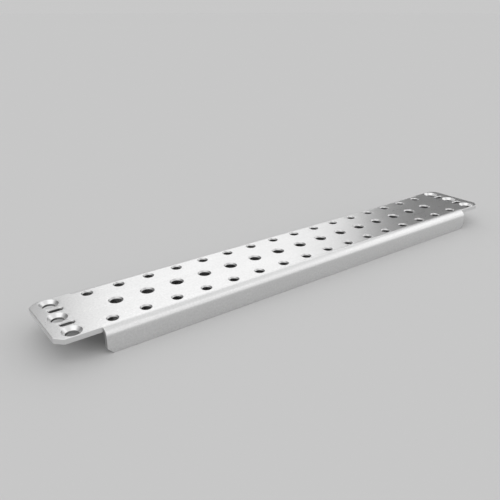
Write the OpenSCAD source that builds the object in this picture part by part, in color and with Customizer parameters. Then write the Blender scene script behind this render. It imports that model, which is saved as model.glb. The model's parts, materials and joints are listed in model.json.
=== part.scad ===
// Enclosure mounting rail: one strip of sheet steel folded into a shallow channel that is open below.
// Its flat web carries three rows of chamfered holes, and a flat tab with countersunk fixing holes runs
// out past the flanges at each end. X runs along the rail, Y across it and Z up. The rail stands on the
// lower edges of its flanges, at Z = 0.

/* [Sheet] */
// Thickness of the sheet
sheet_t = 2; // [1.6:0.1:3]
// Inside radius of the two long bends
bend_r = 1.5; // [0.5:0.1:2.5]

/* [Rail] */
// Length over the end tabs
rail_l = 229; // [120:0.5:600]
// Width over the flanges
rail_w = 34; // [32:0.5:60]
// Height from the lower edges of the flanges to the top of the web
rail_h = 9.7; // [7:0.1:30]
// Chamfer on the lower corners of the flanges
flange_chamfer = 2; // [0.5:0.1:3]

/* [End tabs] */
// Length of each tab beyond the flanges
tab_l = 15.75; // [13:0.25:40]
// Chamfer on the outer corners of the tabs
tab_chamfer = 2.8; // [0.5:0.1:3.5]

/* [Hole rows] */
// Distance from hole to hole along a row
hole_pitch = 12.5; // [8:0.5:25]
// Distance of the two outer rows from the side edges of the tabs
row_edge = 3.75; // [3.6:0.05:5]
// Least distance of the outer rows' end holes from the ends of the flanges
row_margin = 4; // [3:0.5:20]
// Diameter of the holes in the outer rows
side_hole_d = 3.3; // [2:0.1:3.4]
// Diameter of their chamfer at the top face
side_rim_d = 4.4; // [3.4:0.1:5]
// Diameter of the holes in the middle row
mid_hole_d = 4.2; // [2:0.1:5.2]
// Diameter of their chamfer at the top face
mid_rim_d = 5.4; // [4.4:0.1:7]

/* [Fixing holes] */
// Diameter of the fixing holes in the tabs
fixing_d = 4.5; // [3.2:0.1:5.5]
// Diameter of their countersinks at the top face
fixing_rim_d = 6.9; // [5:0.1:7.2]
// Distance of the two outer fixing holes from the end of the tab
fixing_side_end = 6.6; // [5:0.1:9]
// Distance of the middle fixing hole from the end of the tab
fixing_mid_end = 5.8; // [4:0.1:9]

/* [Slots] */
// Length of the slots between the fixing holes
slot_l = 4.8; // [2.5:0.1:8]
// Width of the slots
slot_w = 2; // [1:0.1:2.4]
// Chamfer round the slots at the top face
slot_chamfer = 0.4; // [0.1:0.05:0.6]
// Distance of the middle of the slots from the end of the tab
slot_end = 7.1; // [5.5:0.1:9.5]

/* [Hidden] */
$fn = 64;
overcut = 1;                                    // how far a cut runs past the face it opens
flange_l = rail_l - 2 * tab_l;
tab_w = rail_w - 2 * sheet_t;                   // a tab fills the width between the flanges
row_y = tab_w / 2 - row_edge;
side_count = floor((flange_l - 2 * row_margin) / hole_pitch) + 1;
mid_count = side_count - 1;                     // the middle row is staggered by half a pitch
slot_y = row_y / 2;                             // a slot lies midway between two fixing holes

// Upright rectangle on the axis with its two upper corners rounded
module arched_box(w, h, r) {
    translate([-w / 2, 0]) square([w, h - r]);
    translate([r - w / 2, 0]) square([w - 2 * r, h]);
    for (side = [-1, 1])
        translate([side * (w / 2 - r), h - r]) circle(r);
}

// Extrudes an outline that is drawn across the rail to the given length, centred on the rail
module along_rail(l) {
    rotate([90, 0, 90]) linear_extrude(l, center = true) children();
}

// Section across the rail: the web, the two bends and the two flanges
module channel_section() {
    difference() {
        arched_box(rail_w, rail_h, bend_r + sheet_t);
        translate([0, -overcut]) arched_box(tab_w, rail_h - sheet_t + overcut, bend_r);
    }
}

// Top view of the flat strip, with the outer corners of its tabs cut off
module strip_outline() {
    end_x = rail_l / 2;
    side_y = tab_w / 2;
    polygon([
        [tab_chamfer - end_x, -side_y],
        [end_x - tab_chamfer, -side_y],
        [end_x, tab_chamfer - side_y],
        [end_x, side_y - tab_chamfer],
        [end_x - tab_chamfer, side_y],
        [tab_chamfer - end_x, side_y],
        [-end_x, side_y - tab_chamfer],
        [-end_x, tab_chamfer - side_y]
    ]);
}

// Cut for the lower corner of the flanges at the +X end
module flange_corner() {
    end_x = flange_l / 2;
    rotate([90, 0, 0]) linear_extrude(rail_w + 2 * overcut, center = true) polygon([
        [end_x - flange_chamfer - overcut, -overcut],
        [end_x + overcut, -overcut],
        [end_x + overcut, flange_chamfer + overcut]
    ]);
}

// Flanged length of the rail, with the lower corners of its flanges cut off
module channel() {
    difference() {
        along_rail(flange_l) channel_section();
        for (end = [0, 1])
            mirror([end, 0, 0]) flange_corner();
    }
}

// Flat strip from end to end, as wide as the tabs. Between the ends of the flanges its edges lie in
// the bends, so what would stand out of them is cut off.
module strip() {
    difference() {
        translate([0, 0, rail_h - sheet_t]) linear_extrude(sheet_t) strip_outline();
        along_rail(flange_l) difference() {
            translate([-rail_w / 2, 0]) square([rail_w, rail_h + overcut]);
            arched_box(rail_w, rail_h, bend_r + sheet_t);
        }
    }
}

// Cut for a hole through the sheet whose rim is sunk at 45 degrees, with the top face at Z = 0
module sunk_hole(d, rim_d) {
    sink = (rim_d - d) / 2;
    translate([0, 0, -sheet_t - overcut]) cylinder(h = sheet_t + 2 * overcut, d = d);
    translate([0, 0, -sink]) cylinder(h = sink + overcut, d1 = d, d2 = rim_d + 2 * overcut);
}

// Cut for a slot along X with round ends and the same kind of rim
module sunk_slot(l, w, chamfer) {
    straight_l = l - w;
    wide = w / 2 + chamfer + overcut;
    for (end = [-1, 1])
        translate([end * straight_l / 2, 0, 0]) sunk_hole(w, w + 2 * chamfer);
    along_rail(straight_l) polygon([
        [-w / 2, -sheet_t - overcut],
        [w / 2, -sheet_t - overcut],
        [w / 2, -chamfer],
        [wide, overcut],
        [-wide, overcut],
        [-w / 2, -chamfer]
    ]);
}

// A row of holes along X at the given Y, centred on the rail
module hole_row(count, y, d, rim_d) {
    for (i = [0 : count - 1])
        translate([(i - (count - 1) / 2) * hole_pitch, y, 0]) sunk_hole(d, rim_d);
}

module web_holes() {
    for (side = [-1, 1])
        hole_row(side_count, side * row_y, side_hole_d, side_rim_d);
    hole_row(mid_count, 0, mid_hole_d, mid_rim_d);
}

// Fixing holes and slots of the tab at the +X end
module tab_holes() {
    end_x = rail_l / 2;
    translate([end_x - fixing_mid_end, 0, 0]) sunk_hole(fixing_d, fixing_rim_d);
    for (side = [-1, 1]) {
        translate([end_x - fixing_side_end, side * row_y, 0]) sunk_hole(fixing_d, fixing_rim_d);
        translate([end_x - slot_end, side * slot_y, 0]) sunk_slot(slot_l, slot_w, slot_chamfer);
    }
}

module rail() {
    color("silver") difference() {
        union() {
            channel();
            strip();
        }
        translate([0, 0, rail_h]) {
            web_holes();
            for (end = [0, 1])
                mirror([end, 0, 0]) tab_holes();
        }
    }
}

rail();
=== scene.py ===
import json
import math

import bmesh
import bpy
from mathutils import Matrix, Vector
from mathutils.geometry import delaunay_2d_cdt


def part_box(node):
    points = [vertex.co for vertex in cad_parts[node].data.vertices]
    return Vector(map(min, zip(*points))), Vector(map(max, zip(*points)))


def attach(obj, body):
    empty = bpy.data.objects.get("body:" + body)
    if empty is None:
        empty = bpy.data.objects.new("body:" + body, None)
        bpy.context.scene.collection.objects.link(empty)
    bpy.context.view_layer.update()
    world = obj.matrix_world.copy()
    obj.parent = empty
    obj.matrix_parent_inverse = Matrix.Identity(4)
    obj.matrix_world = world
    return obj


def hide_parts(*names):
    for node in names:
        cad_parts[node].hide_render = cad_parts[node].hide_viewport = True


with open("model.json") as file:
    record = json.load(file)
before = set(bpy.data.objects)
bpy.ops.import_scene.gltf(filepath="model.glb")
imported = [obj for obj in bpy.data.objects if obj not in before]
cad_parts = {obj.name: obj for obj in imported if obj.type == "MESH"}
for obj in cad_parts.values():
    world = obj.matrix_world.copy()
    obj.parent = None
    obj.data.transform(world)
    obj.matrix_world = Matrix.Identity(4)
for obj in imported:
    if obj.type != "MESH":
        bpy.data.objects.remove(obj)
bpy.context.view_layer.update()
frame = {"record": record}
mm = 0.001                      # the shared frame is in metres


def addNode(tree, kind, settings=None, links=None):
    node = tree.nodes.new(kind)
    for key, value in (settings or {}).items():
        if isinstance(key, str) and hasattr(node, key):
            setattr(node, key, value)
        else:
            node.inputs[key].default_value = value
    for key, source in (links or {}).items():
        tree.links.new(source, node.inputs[key])
    return node


def hexToLinear(code):
    shares = [int(code[at:at + 2], 16) / 255 for at in (1, 3, 5)]
    return [c / 12.92 if c <= 0.04045 else ((c + 0.055) / 1.055) ** 2.4 for c in shares] + [1.0]


# Rail: the flat blank is laid out in x along the rail, s across it and n through the sheet, then folded.
# Lengths in mm. Outside sizes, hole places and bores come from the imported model.
rail = {
    "name": "folded_rail",
    "thickness": 2.0,
    "bendInside": 1.5,
    "tabLength": 15.75,
    "tabCorner": 2.8,           # 45 degree cut on the tabs
    "flangeCorner": 2.0,        # 45 degree cut on the flanges
    "pitch": 12.5,
    "rimOuterRow": 4.4,         # diameters of the 45 degree sinks at the upper face
    "rimMiddleRow": 5.4,
    "rimFixing": 6.9,
    "slotLength": 4.8,
    "slotWidth": 2.0,
    "slotSink": 0.4,
    "slotFromEnd": 7.1,
    "edgeOver": 0.2,            # rolled-over upper edge of the cut sheet
    "edgeUnder": 0.1,
    "edgeSink": 0.1,            # softened edges of the sinks
    "wideSink": 1.0,            # narrower sinks turn rougher and painted darker as shade towards the bore
    "roughShadeLoops": 2,             # and do so this many loops of the mesh sooner
    "corner": 0.3,              # softened corners of the blank
    "tear": 0.4,                # length of the step between tab and bend
    "ringSteps": 48,            # from here on, how finely it is drawn
    "arcSteps": 4,
    "bendSteps": 16,
    "bendLead": 0.1,            # the first line along a bend lies just past its start
    "flangeShare": 1 / 3,       # one more line a third of the way down each flange
    "gridX": 3.125,             # points on the flat stretches, four to a pitch
    "gridS": 2.8125,            # and four from the middle row to an outer one
    "gridEdge": 2.5,            # how far they stay from the edges of the blank
    "gridRim": 0.6,             # and from the rims of the holes
    "stepGap": 0.7,             # how far the lines that meet the step stay short of it
    "lead": 1.0,                # profiles come in from this far off, only to give the direction
    "join": 1e-5,               # points nearer than this are one
}

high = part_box("rail")[1]
halfLength = high.x / mm
halfWidth = high.y / mm
height = high.z / mm
bendOutside = rail["bendInside"] + rail["thickness"]
bendStart = halfWidth - bendOutside                     # s where a bend begins
bendEnd = bendStart + bendOutside * math.pi / 2         # s where it ends, along the upper face
blankEdge = bendEnd + height - bendOutside              # s of a flange's lower edge
flangeEnd = halfLength - rail["tabLength"]
tabEdge = halfWidth - rail["thickness"]
mounts = {mount["name"]: mount["dims"] for mount in frame["record"]["mounts"]}


def folded(x, s, n):
    flat = Vector((x, s, height + n))
    past = abs(s) - bendStart
    fold = min(1, (flangeEnd + rail["tear"] - abs(x)) / rail["tear"])
    if past <= 0 or fold <= 0:
        return flat * mm
    turn = min(past / bendOutside, math.pi / 2)
    across = bendStart + (bendOutside + n) * math.sin(turn)
    up = height - bendOutside + (bendOutside + n) * math.cos(turn)
    bent = Vector((x, math.copysign(across, s), up - max(0, abs(s) - bendEnd)))
    return flat.lerp(bent, fold) * mm


def softened(corners):          # each corner is (x, y, radius), and an arc takes its place
    line = []
    for at, (x, y, radius) in enumerate(corners):
        corner = Vector((x, y))
        if not radius:
            line.append(corner)
            continue
        back = (Vector(corners[at - 1][:2]) - corner).normalized()
        ahead = (Vector(corners[(at + 1) % len(corners)][:2]) - corner).normalized()
        half = (math.pi - back.angle(ahead)) / 2
        centre = corner + (back + ahead).normalized() * radius / math.cos(half)
        first = corner + back * radius * math.tan(half) - centre
        last = corner + ahead * radius * math.tan(half) - centre
        for step in range(rail["arcSteps"] + 1):
            line.append(centre + first.slerp(last, step / rail["arcSteps"]) * radius)
    return line


def inset(loop, depth):         # a loop that runs anticlockwise, moved inwards
    moved = []
    for at, point in enumerate(loop):
        come = (point - loop[at - 1]).normalized()
        go = (loop[(at + 1) % len(loop)] - point).normalized()
        left = Vector((-come.y - go.y, come.x + go.x))
        moved.append(point + left * depth / (1 + come.dot(go)))
    return moved


def bendLines():                # s of the mesh lines along the bends and flanges
    steps = rail["bendSteps"]
    bend = [bendStart + (bendEnd - bendStart) * step / steps for step in range(1, steps + 1)]
    flange = bendEnd + (blankEdge - bendEnd) * rail["flangeShare"]
    return [bendStart + rail["bendLead"]] + bend + [flange]


def blankOutline():
    onEnd = [s for s in bendLines() if tabEdge + 2 * rail["corner"] < s < blankEdge - rail["flangeCorner"]]
    quarter = [
        (halfLength, tabEdge - rail["tabCorner"], rail["corner"]),
        (halfLength - rail["tabCorner"], tabEdge, rail["corner"]),
        (flangeEnd + rail["tear"], tabEdge, 0),
        (flangeEnd, tabEdge, rail["corner"]),
        *[(flangeEnd, s, 0) for s in onEnd],
        (flangeEnd, blankEdge - rail["flangeCorner"], rail["corner"]),
        (flangeEnd - rail["flangeCorner"], blankEdge, rail["corner"]),
    ]
    half = quarter + [(-x, s, radius) for x, s, radius in reversed(quarter)]
    return softened(half + [(-x, -s, radius) for x, s, radius in half])


def holeList():                 # (x, s, half the straight of a slot, bore radius, depth of the sink)
    holes = []

    def addHole(x, s, dims, rim):
        holes.append((x, s, 0, dims["hole_r_mm"], rim / 2 - dims["hole_r_mm"]))

    outer, middle = mounts["outer_row_ends"], mounts["middle_row_ends"]
    side, centre = mounts["end_fixings"], mounts["end_fixings_middle"]
    rowS = outer["spacing_y_mm"] / 2
    for at in range(round(outer["spacing_x_mm"] / rail["pitch"]) + 1):
        for s in (-rowS, rowS):
            addHole(at * rail["pitch"] - outer["spacing_x_mm"] / 2, s, outer, rail["rimOuterRow"])
    for at in range(round(middle["spacing_x_mm"] / rail["pitch"]) + 1):
        addHole(at * rail["pitch"] - middle["spacing_x_mm"] / 2, 0, middle, rail["rimMiddleRow"])
    straight = (rail["slotLength"] - rail["slotWidth"]) / 2
    for end in (-1, 1):
        addHole(end * centre["spacing_x_mm"] / 2, 0, centre, rail["rimFixing"])
        for s in (-rowS, rowS):
            addHole(end * side["spacing_x_mm"] / 2, s, side, rail["rimFixing"])
            slotX = end * (halfLength - rail["slotFromEnd"])
            holes.append((slotX, s / 2, straight, rail["slotWidth"] / 2, rail["slotSink"]))
    return holes


def holeLoop(x, s, straight, radius):   # points start half a step round, so none is between a slot's ends
    loop = []
    for step in range(rail["ringSteps"]):
        angle = 2 * math.pi * (step + 0.5) / rail["ringSteps"]
        along = math.copysign(straight, math.cos(angle)) + radius * math.cos(angle)
        loop.append(Vector((x + along, s + radius * math.sin(angle))))
    return loop


def gridPoints(holes):          # points on the flat stretches, clear of the holes
    def fromRim(point, x, s, straight, bore, sink):
        return math.hypot(max(0, abs(point.x - x) - straight), point.y - s) - bore - sink

    columns = int((halfLength - rail["gridEdge"]) / rail["gridX"])
    rows = int((tabEdge - rail["gridEdge"]) / rail["gridS"])
    points = []
    for row in range(-rows, rows + 1):
        for column in range(-columns, columns + 1):
            point = Vector((column * rail["gridX"], row * rail["gridS"]))
            if all(fromRim(point, *hole) > rail["gridRim"] for hole in holes):
                points.append(point)
    return points


sheet = bmesh.new()
flatLayer = sheet.verts.layers.float_vector.new("flat")         # place on the blank, in mm
finishAndShadeLayer = sheet.verts.layers.float_vector.new("finishAndShade")     # share of cut edge, and share of bore, which is rougher and painted darker as shade


def addVert(point, n, finishAndShade=(0, 0, 0)):
    vert = sheet.verts.new(folded(point.x, point.y, n))
    vert[flatLayer] = (point.x, point.y, n)
    vert[finishAndShadeLayer] = finishAndShade
    return vert


# Loops of (points, n) from the upper face to the under face. The bore's roughness and painted shade come in
# after loop boreFrom.
def addWall(loops, boreFrom):
    rings = []
    for at, (points, n) in enumerate(loops):
        onFace = at in (0, len(loops) - 1)
        boredAndShaded = min(1, max(0, (at - boreFrom) / rail["arcSteps"]))
        finishAndShade = (0, 0, 0) if onFace else (1 - boredAndShaded, boredAndShaded, 0)
        rings.append([addVert(point, n, finishAndShade) for point in points])
    for upper, lower in zip(rings, rings[1:]):
        for at in range(len(upper)):
            sheet.faces.new((upper[at - 1], upper[at], lower[at], lower[at - 1]))
    return rings[0], rings[-1]


def edgeWall():
    under = -rail["thickness"]
    profile = softened([
        (rail["lead"], 0, 0),
        (0, 0, rail["edgeOver"]),
        (0, under, rail["edgeUnder"]),
        (rail["lead"], under, 0),
    ])
    outline = blankOutline()
    return addWall([(inset(outline, p.x), p.y) for p in profile[1:-1]], len(profile))   # none is bored


def holeWall(x, s, straight, bore, sink):
    under = -rail["thickness"]
    profile = softened([
        (bore + sink + rail["lead"], 0, 0),
        (bore + sink, 0, rail["edgeSink"]),
        (bore, -sink, rail["edgeSink"]),
        (bore, under, rail["edgeUnder"]),
        (bore + rail["lead"], under, 0),
    ])
    sinkFoot = rail["arcSteps"] + 1             # loop where the sink turns into the bore
    # a narrow sink takes the bore's roughness and painted shade from higher up
    boreFrom = sinkFoot if sink > rail["wideSink"] else sinkFoot - rail["roughShadeLoops"]
    return addWall([(holeLoop(x, s, straight, p.x), p.y) for p in profile[1:-1]], boreFrom)


def lineAlong(border, s, n):    # verts of a mesh line along a bend, from border to border where it can
    onFlange = flangeEnd + rail["tear"] / 2
    ends = {}
    for vert in border:
        x, edgeS = vert[flatLayer][:2]
        if abs(x) < onFlange and abs(edgeS - s) < rail["join"]:
            ends[x > 0] = vert
    reach = flangeEnd if abs(s) < tabEdge - rail["tear"] else flangeEnd - rail["stepGap"]
    count = round(flangeEnd / rail["gridX"])
    line = []
    for step in range(-count, count + 1):
        joined = ends.get(step > 0) if abs(step) == count else None
        line.append(joined or addVert(Vector((step * reach / count, s)), n))
    return line


def fillFace(border, rings, holes, n):
    lines = [border + border[:1]] + [ring + ring[:1] for ring in rings]
    for s in bendLines():
        lines += [lineAlong(border, -s, n), lineAlong(border, s, n)]
    verts = [addVert(point, n) for point in gridPoints(holes)]
    verts += dict.fromkeys(vert for line in lines for vert in line)
    place = {vert: at for at, vert in enumerate(verts)}
    ringOf = {vert: number for number, ring in enumerate(rings) for vert in ring}
    edges = [(place[a], place[b]) for line in lines for a, b in zip(line, line[1:])]
    flat = [Vector(vert[flatLayer][:2]) for vert in verts]
    inside = 1                                          # kind of result: triangles within the border
    triangles, origins = delaunay_2d_cdt(flat, edges, [], inside, rail["join"])[2:4]
    for triangle in triangles:
        corners = [verts[origins[at][0]] for at in triangle]
        touched = {ringOf.get(vert) for vert in corners}
        if len(touched) > 1 or None in touched:         # otherwise it lies in a hole
            sheet.faces.new(corners)


def foldRail():
    holes = holeList()
    edge = edgeWall()
    walls = [holeWall(*hole) for hole in holes]
    for face, n in ((0, 0), (1, -rail["thickness"])):       # upper face, then under face
        fillFace(edge[face], [wall[face] for wall in walls], holes, n)
    bmesh.ops.recalc_face_normals(sheet, faces=sheet.faces)
    skin = bpy.data.meshes.new(rail["name"])
    sheet.to_mesh(skin)
    sheet.free()
    skin.shade_smooth()
    piece = bpy.data.objects.new(rail["name"], skin)
    bpy.context.scene.collection.objects.link(piece)
    weighted = piece.modifiers.new("weighted normals", "WEIGHTED_NORMAL")
    weighted.mode = "FACE_AREA"
    weighted.weight = 100       # the largest faces decide, so flat stretches shade flat
    return piece


piece = foldRail()
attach(piece, "root")
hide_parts("rail")
print("rail folded:", len(piece.data.vertices), "vertices")


# Zinc-plated steel: cold-rolled sheet that is punched, folded and then bright plated. The eye sees a
# neutral silver with soft reflections, a fine even grain, and faint rolling lines and clouds where the
# plating is duller. Cut edges and sinks are smoother and brighter, with the cutter's rings. The punched
# bores are rough and painted a darker grey as shade, and the foot of the narrow sinks takes that
# roughness and painted shade too. Lengths in mm on the flat blank.
zinc = {
    "bright": "#e6e6e6",
    "dull": "#dbdbdb",
    "brightRoughness": 0.27,
    "dullRoughness": 0.34,
    "cutColour": "#e4e4e4",
    "cutRoughness": 0.3,
    # painted shade: the bores are drawn a darker grey than the plating
    "boreShadeColour": "#949494",
    "boreRoughness": 0.42,
    "cloud": 16.0,
    "lines": (70.0, 3.0),       # length and width of the rolling lines that show from afar
    "fineLines": (25.0, 0.4),   # and of the fine ones, near 0.1 wide on real sheet, drawn coarser to show
    "lineDepth": 0.006,
    "detail": 3.0,              # finer layers in the noise of lines and clouds
    "grain": 0.8,               # real plating crystals are far finer, drawn coarser to show
    "grainDepth": 0.0012,
    "grainDetail": 1.0,
    "ringPitch": 0.12,          # the cutter's rings
    "ringDepth": 0.001,
    "lineShare": 0.5,           # how much each pattern counts in where the plating is dull
    "cloudShare": 0.5,
    "grainShare": 1.5,
    "contrast": (1.1, 1.9),     # their sum, from all bright to all dull
}


def zincPlatedSteel():
    material = bpy.data.materials.new("zinc_plated_rolled_steel")
    material.use_nodes = True
    tree = material.node_tree
    shader = tree.nodes["Principled BSDF"]
    shader.inputs["Metallic"].default_value = 1.0
    flat = addNode(tree, "ShaderNodeAttribute", {"attribute_name": "flat"}).outputs["Vector"]
    finishAndShade = addNode(tree, "ShaderNodeAttribute", {"attribute_name": "finishAndShade"}).outputs["Vector"]
    # the second share marks the bores: rougher, and painted darker as shade
    cut, boredAndShaded = addNode(tree, "ShaderNodeSeparateXYZ", {}, {0: finishAndShade}).outputs[:2]

    # Rolling lines, clouds and grain
    lines = []
    for length, width in (zinc["lines"], zinc["fineLines"]):
        along = addNode(tree, "ShaderNodeVectorMath", {"operation": "DIVIDE", 1: (length, width, width)},
                        {0: flat}).outputs[0]
        lines.append(addNode(tree, "ShaderNodeTexNoise", {"Scale": 1.0, "Detail": zinc["detail"]},
                             {"Vector": along}).outputs["Fac"])
    rolled = addNode(tree, "ShaderNodeMath", {"operation": "ADD"}, {0: lines[0], 1: lines[1]}).outputs[0]
    clouds = addNode(tree, "ShaderNodeTexNoise", {"Scale": 1 / zinc["cloud"], "Detail": zinc["detail"]},
                     {"Vector": flat}).outputs["Fac"]
    grain = addNode(tree, "ShaderNodeTexNoise", {"Scale": 1 / zinc["grain"], "Detail": zinc["grainDetail"]},
                    {"Vector": flat}).outputs["Fac"]
    patchy = None
    for pattern, share in ((rolled, "lineShare"), (clouds, "cloudShare"), (grain, "grainShare")):
        links = {0: pattern, 2: patchy} if patchy else {0: pattern}
        patchy = addNode(tree, "ShaderNodeMath", {"operation": "MULTIPLY_ADD", 1: zinc[share], 2: 0.0},
                         links).outputs[0]
    least, most = zinc["contrast"]
    dullness = addNode(tree, "ShaderNodeMapRange", {"From Min": least, "From Max": most},
                       {"Value": patchy}).outputs["Result"]

    # Colour and gloss of the rolled faces, then of what is cut and of the bores, whose darker grey is
    # painted shade. Input 0 of a mix is the share,
    # 2 and 3 are its two numbers, and 6 and 7 its two colours.
    colour = addNode(tree, "ShaderNodeMix", {"data_type": "RGBA", 6: hexToLinear(zinc["bright"]),
                                             7: hexToLinear(zinc["dull"])}, {0: dullness}).outputs[2]
    rough = addNode(tree, "ShaderNodeMix", {2: zinc["brightRoughness"], 3: zinc["dullRoughness"]},
                    {0: dullness}).outputs[0]
    for share, tone, gloss in ((cut, "cutColour", "cutRoughness"), (boredAndShaded, "boreShadeColour", "boreRoughness")):
        colour = addNode(tree, "ShaderNodeMix", {"data_type": "RGBA", 7: hexToLinear(zinc[tone])},
                         {0: share, 6: colour}).outputs[2]
        rough = addNode(tree, "ShaderNodeMix", {3: zinc[gloss]}, {0: share, 2: rough}).outputs[0]
    tree.links.new(colour, shader.inputs["Base Color"])
    tree.links.new(rough, shader.inputs["Roughness"])

    # Relief: lines and grain all over, rings where the sheet is cut
    depth = addNode(tree, "ShaderNodeSeparateXYZ", {}, {0: flat}).outputs["Z"]
    turn = addNode(tree, "ShaderNodeMath", {"operation": "MULTIPLY", 1: 2 * math.pi / zinc["ringPitch"]},
                   {0: depth}).outputs[0]
    rings = addNode(tree, "ShaderNodeMath", {"operation": "SINE"}, {0: turn}).outputs[0]
    ringed = addNode(tree, "ShaderNodeMath", {"operation": "MULTIPLY"}, {0: cut, 1: rings}).outputs[0]
    normal = None
    for relief, deep in ((rolled, "lineDepth"), (grain, "grainDepth"), (ringed, "ringDepth")):
        links = {"Height": relief, "Normal": normal} if normal else {"Height": relief}
        normal = addNode(tree, "ShaderNodeBump", {"Distance": zinc[deep] * mm}, links).outputs["Normal"]
    tree.links.new(normal, shader.inputs["Normal"])
    return material


piece.data.materials.append(zincPlatedSteel())
print("zinc plating on")


# Matt paper and grey card: uncoated, so the eye sees one even tone without gloss
def mattSheet(name, colour):
    material = bpy.data.materials.new(name)
    material.use_nodes = True
    shader = material.node_tree.nodes["Principled BSDF"]
    shader.inputs["Base Color"].default_value = hexToLinear(colour)
    shader.inputs["Roughness"].default_value = 1.0
    shader.inputs["Specular IOR Level"].default_value = 0.0
    return material


# Floor: a wide sheet of pale matt paper, as bright as the surround so that no horizon shows. Size in m.
floor = {"size": 60.0, "colour": "#cacaca"}


def layFloor():
    bpy.ops.mesh.primitive_plane_add(size=floor["size"])
    plane = bpy.context.object
    plane.name = "paper_floor"
    plane.data.materials.append(mattSheet("matt_paper", floor["colour"]))


layFloor()
print("floor laid")

# Studio: an even pale surround, round soft boxes far off, and grey flags that only reflections see.
# Angles in degrees, azimuths from +Y towards +X, and distance in m. Brightness is what a box adds to the
# surround in a mirror.
studio = {
    "surround": 0.58,
    "softBoxes": {
        "behind": {"azimuth": 32, "elevation": 43, "halfWidth": 29, "brightness": 0.69},
        "right": {"azimuth": 103, "elevation": 16, "halfWidth": 29, "brightness": 0.49},
        "above": {"azimuth": 121, "elevation": 52, "halfWidth": 29, "brightness": 0.3},
        "front": {"azimuth": 162, "elevation": 14, "halfWidth": 30, "brightness": 0.46},
        "left": {"azimuth": 239, "elevation": 60, "halfWidth": 30, "brightness": 0.73},
    },
    "flags": {
        "right": {"azimuth": 58, "elevation": 17, "width": 17, "height": 34, "colour": "#6c6c6c"},
        "left": {"azimuth": -17, "elevation": 18.5, "width": 59, "height": 37, "colour": "#909090"},
    },
    "flagDistance": 8.0,
}


def towards(azimuth, elevation):
    turn, rise = math.radians(azimuth), math.radians(elevation)
    return Vector((math.sin(turn) * math.cos(rise), math.cos(turn) * math.cos(rise), math.sin(rise)))


def lightSurround():
    world = bpy.data.worlds.new("studio")
    bpy.context.scene.world = world
    world.use_nodes = True
    background = world.node_tree.nodes["Background"]
    background.inputs["Color"].default_value = (1, 1, 1, 1)
    background.inputs["Strength"].default_value = studio["surround"]


def hangSoftBoxes():
    for name, box in studio["softBoxes"].items():
        half = math.radians(box["halfWidth"])
        lamp = bpy.data.lights.new("soft_box_" + name, "SUN")
        lamp.angle = 2 * half
        lamp.energy = box["brightness"] * math.pi * math.sin(half) ** 2
        stand = bpy.data.objects.new(lamp.name, lamp)
        aim = towards(box["azimuth"], box["elevation"])
        stand.rotation_euler = aim.to_track_quat("Z", "Y").to_euler()
        bpy.context.scene.collection.objects.link(stand)


def standFlags():
    for name, flag in studio["flags"].items():
        aim = towards(flag["azimuth"], flag["elevation"])
        bpy.ops.mesh.primitive_plane_add(size=2, location=aim * studio["flagDistance"])    # half a side is 1
        card = bpy.context.object
        card.name = "flag_" + name
        card.rotation_euler = (-aim).to_track_quat("Z", "Y").to_euler()
        spread = [math.tan(math.radians(flag[size] / 2)) for size in ("width", "height")]
        card.scale = [studio["flagDistance"] * share for share in spread] + [1]
        card.data.materials.append(mattSheet("matt_grey_card", flag["colour"]))
        card.visible_camera = False
        card.visible_diffuse = False
        card.visible_shadow = False
        card.visible_transmission = False


lightSurround()
hangSoftBoxes()
standFlags()
print("studio lit")

# Camera: where the photograph was taken from, in degrees and m, with lens and sensor in mm
view = {
    "azimuth": -36.741,
    "elevation": 22.961,
    "distance": 0.243536,
    "target": (-0.021685, 0.007869, 0.0097),
    "lens": 40.525,
    "sensor": 36.0,
    "clip": 0.01,               # nearest that is drawn
}


def setCamera():
    azimuth, elevation = math.radians(view["azimuth"]), math.radians(view["elevation"])
    back = Vector((math.sin(azimuth) * math.cos(elevation),
                   -math.cos(azimuth) * math.cos(elevation),
                   math.sin(elevation)))
    lens = bpy.data.cameras.new("camera")
    lens.lens = view["lens"]
    lens.sensor_width = view["sensor"]
    lens.clip_start = view["clip"]
    camera = bpy.data.objects.new("camera", lens)
    camera.location = Vector(view["target"]) + back * view["distance"]
    camera.rotation_euler = (-back).to_track_quat("-Z", "Y").to_euler()
    bpy.context.scene.collection.objects.link(camera)
    bpy.context.scene.camera = camera


setCamera()
bpy.context.scene.view_settings.view_transform = "Standard"
print("camera set")
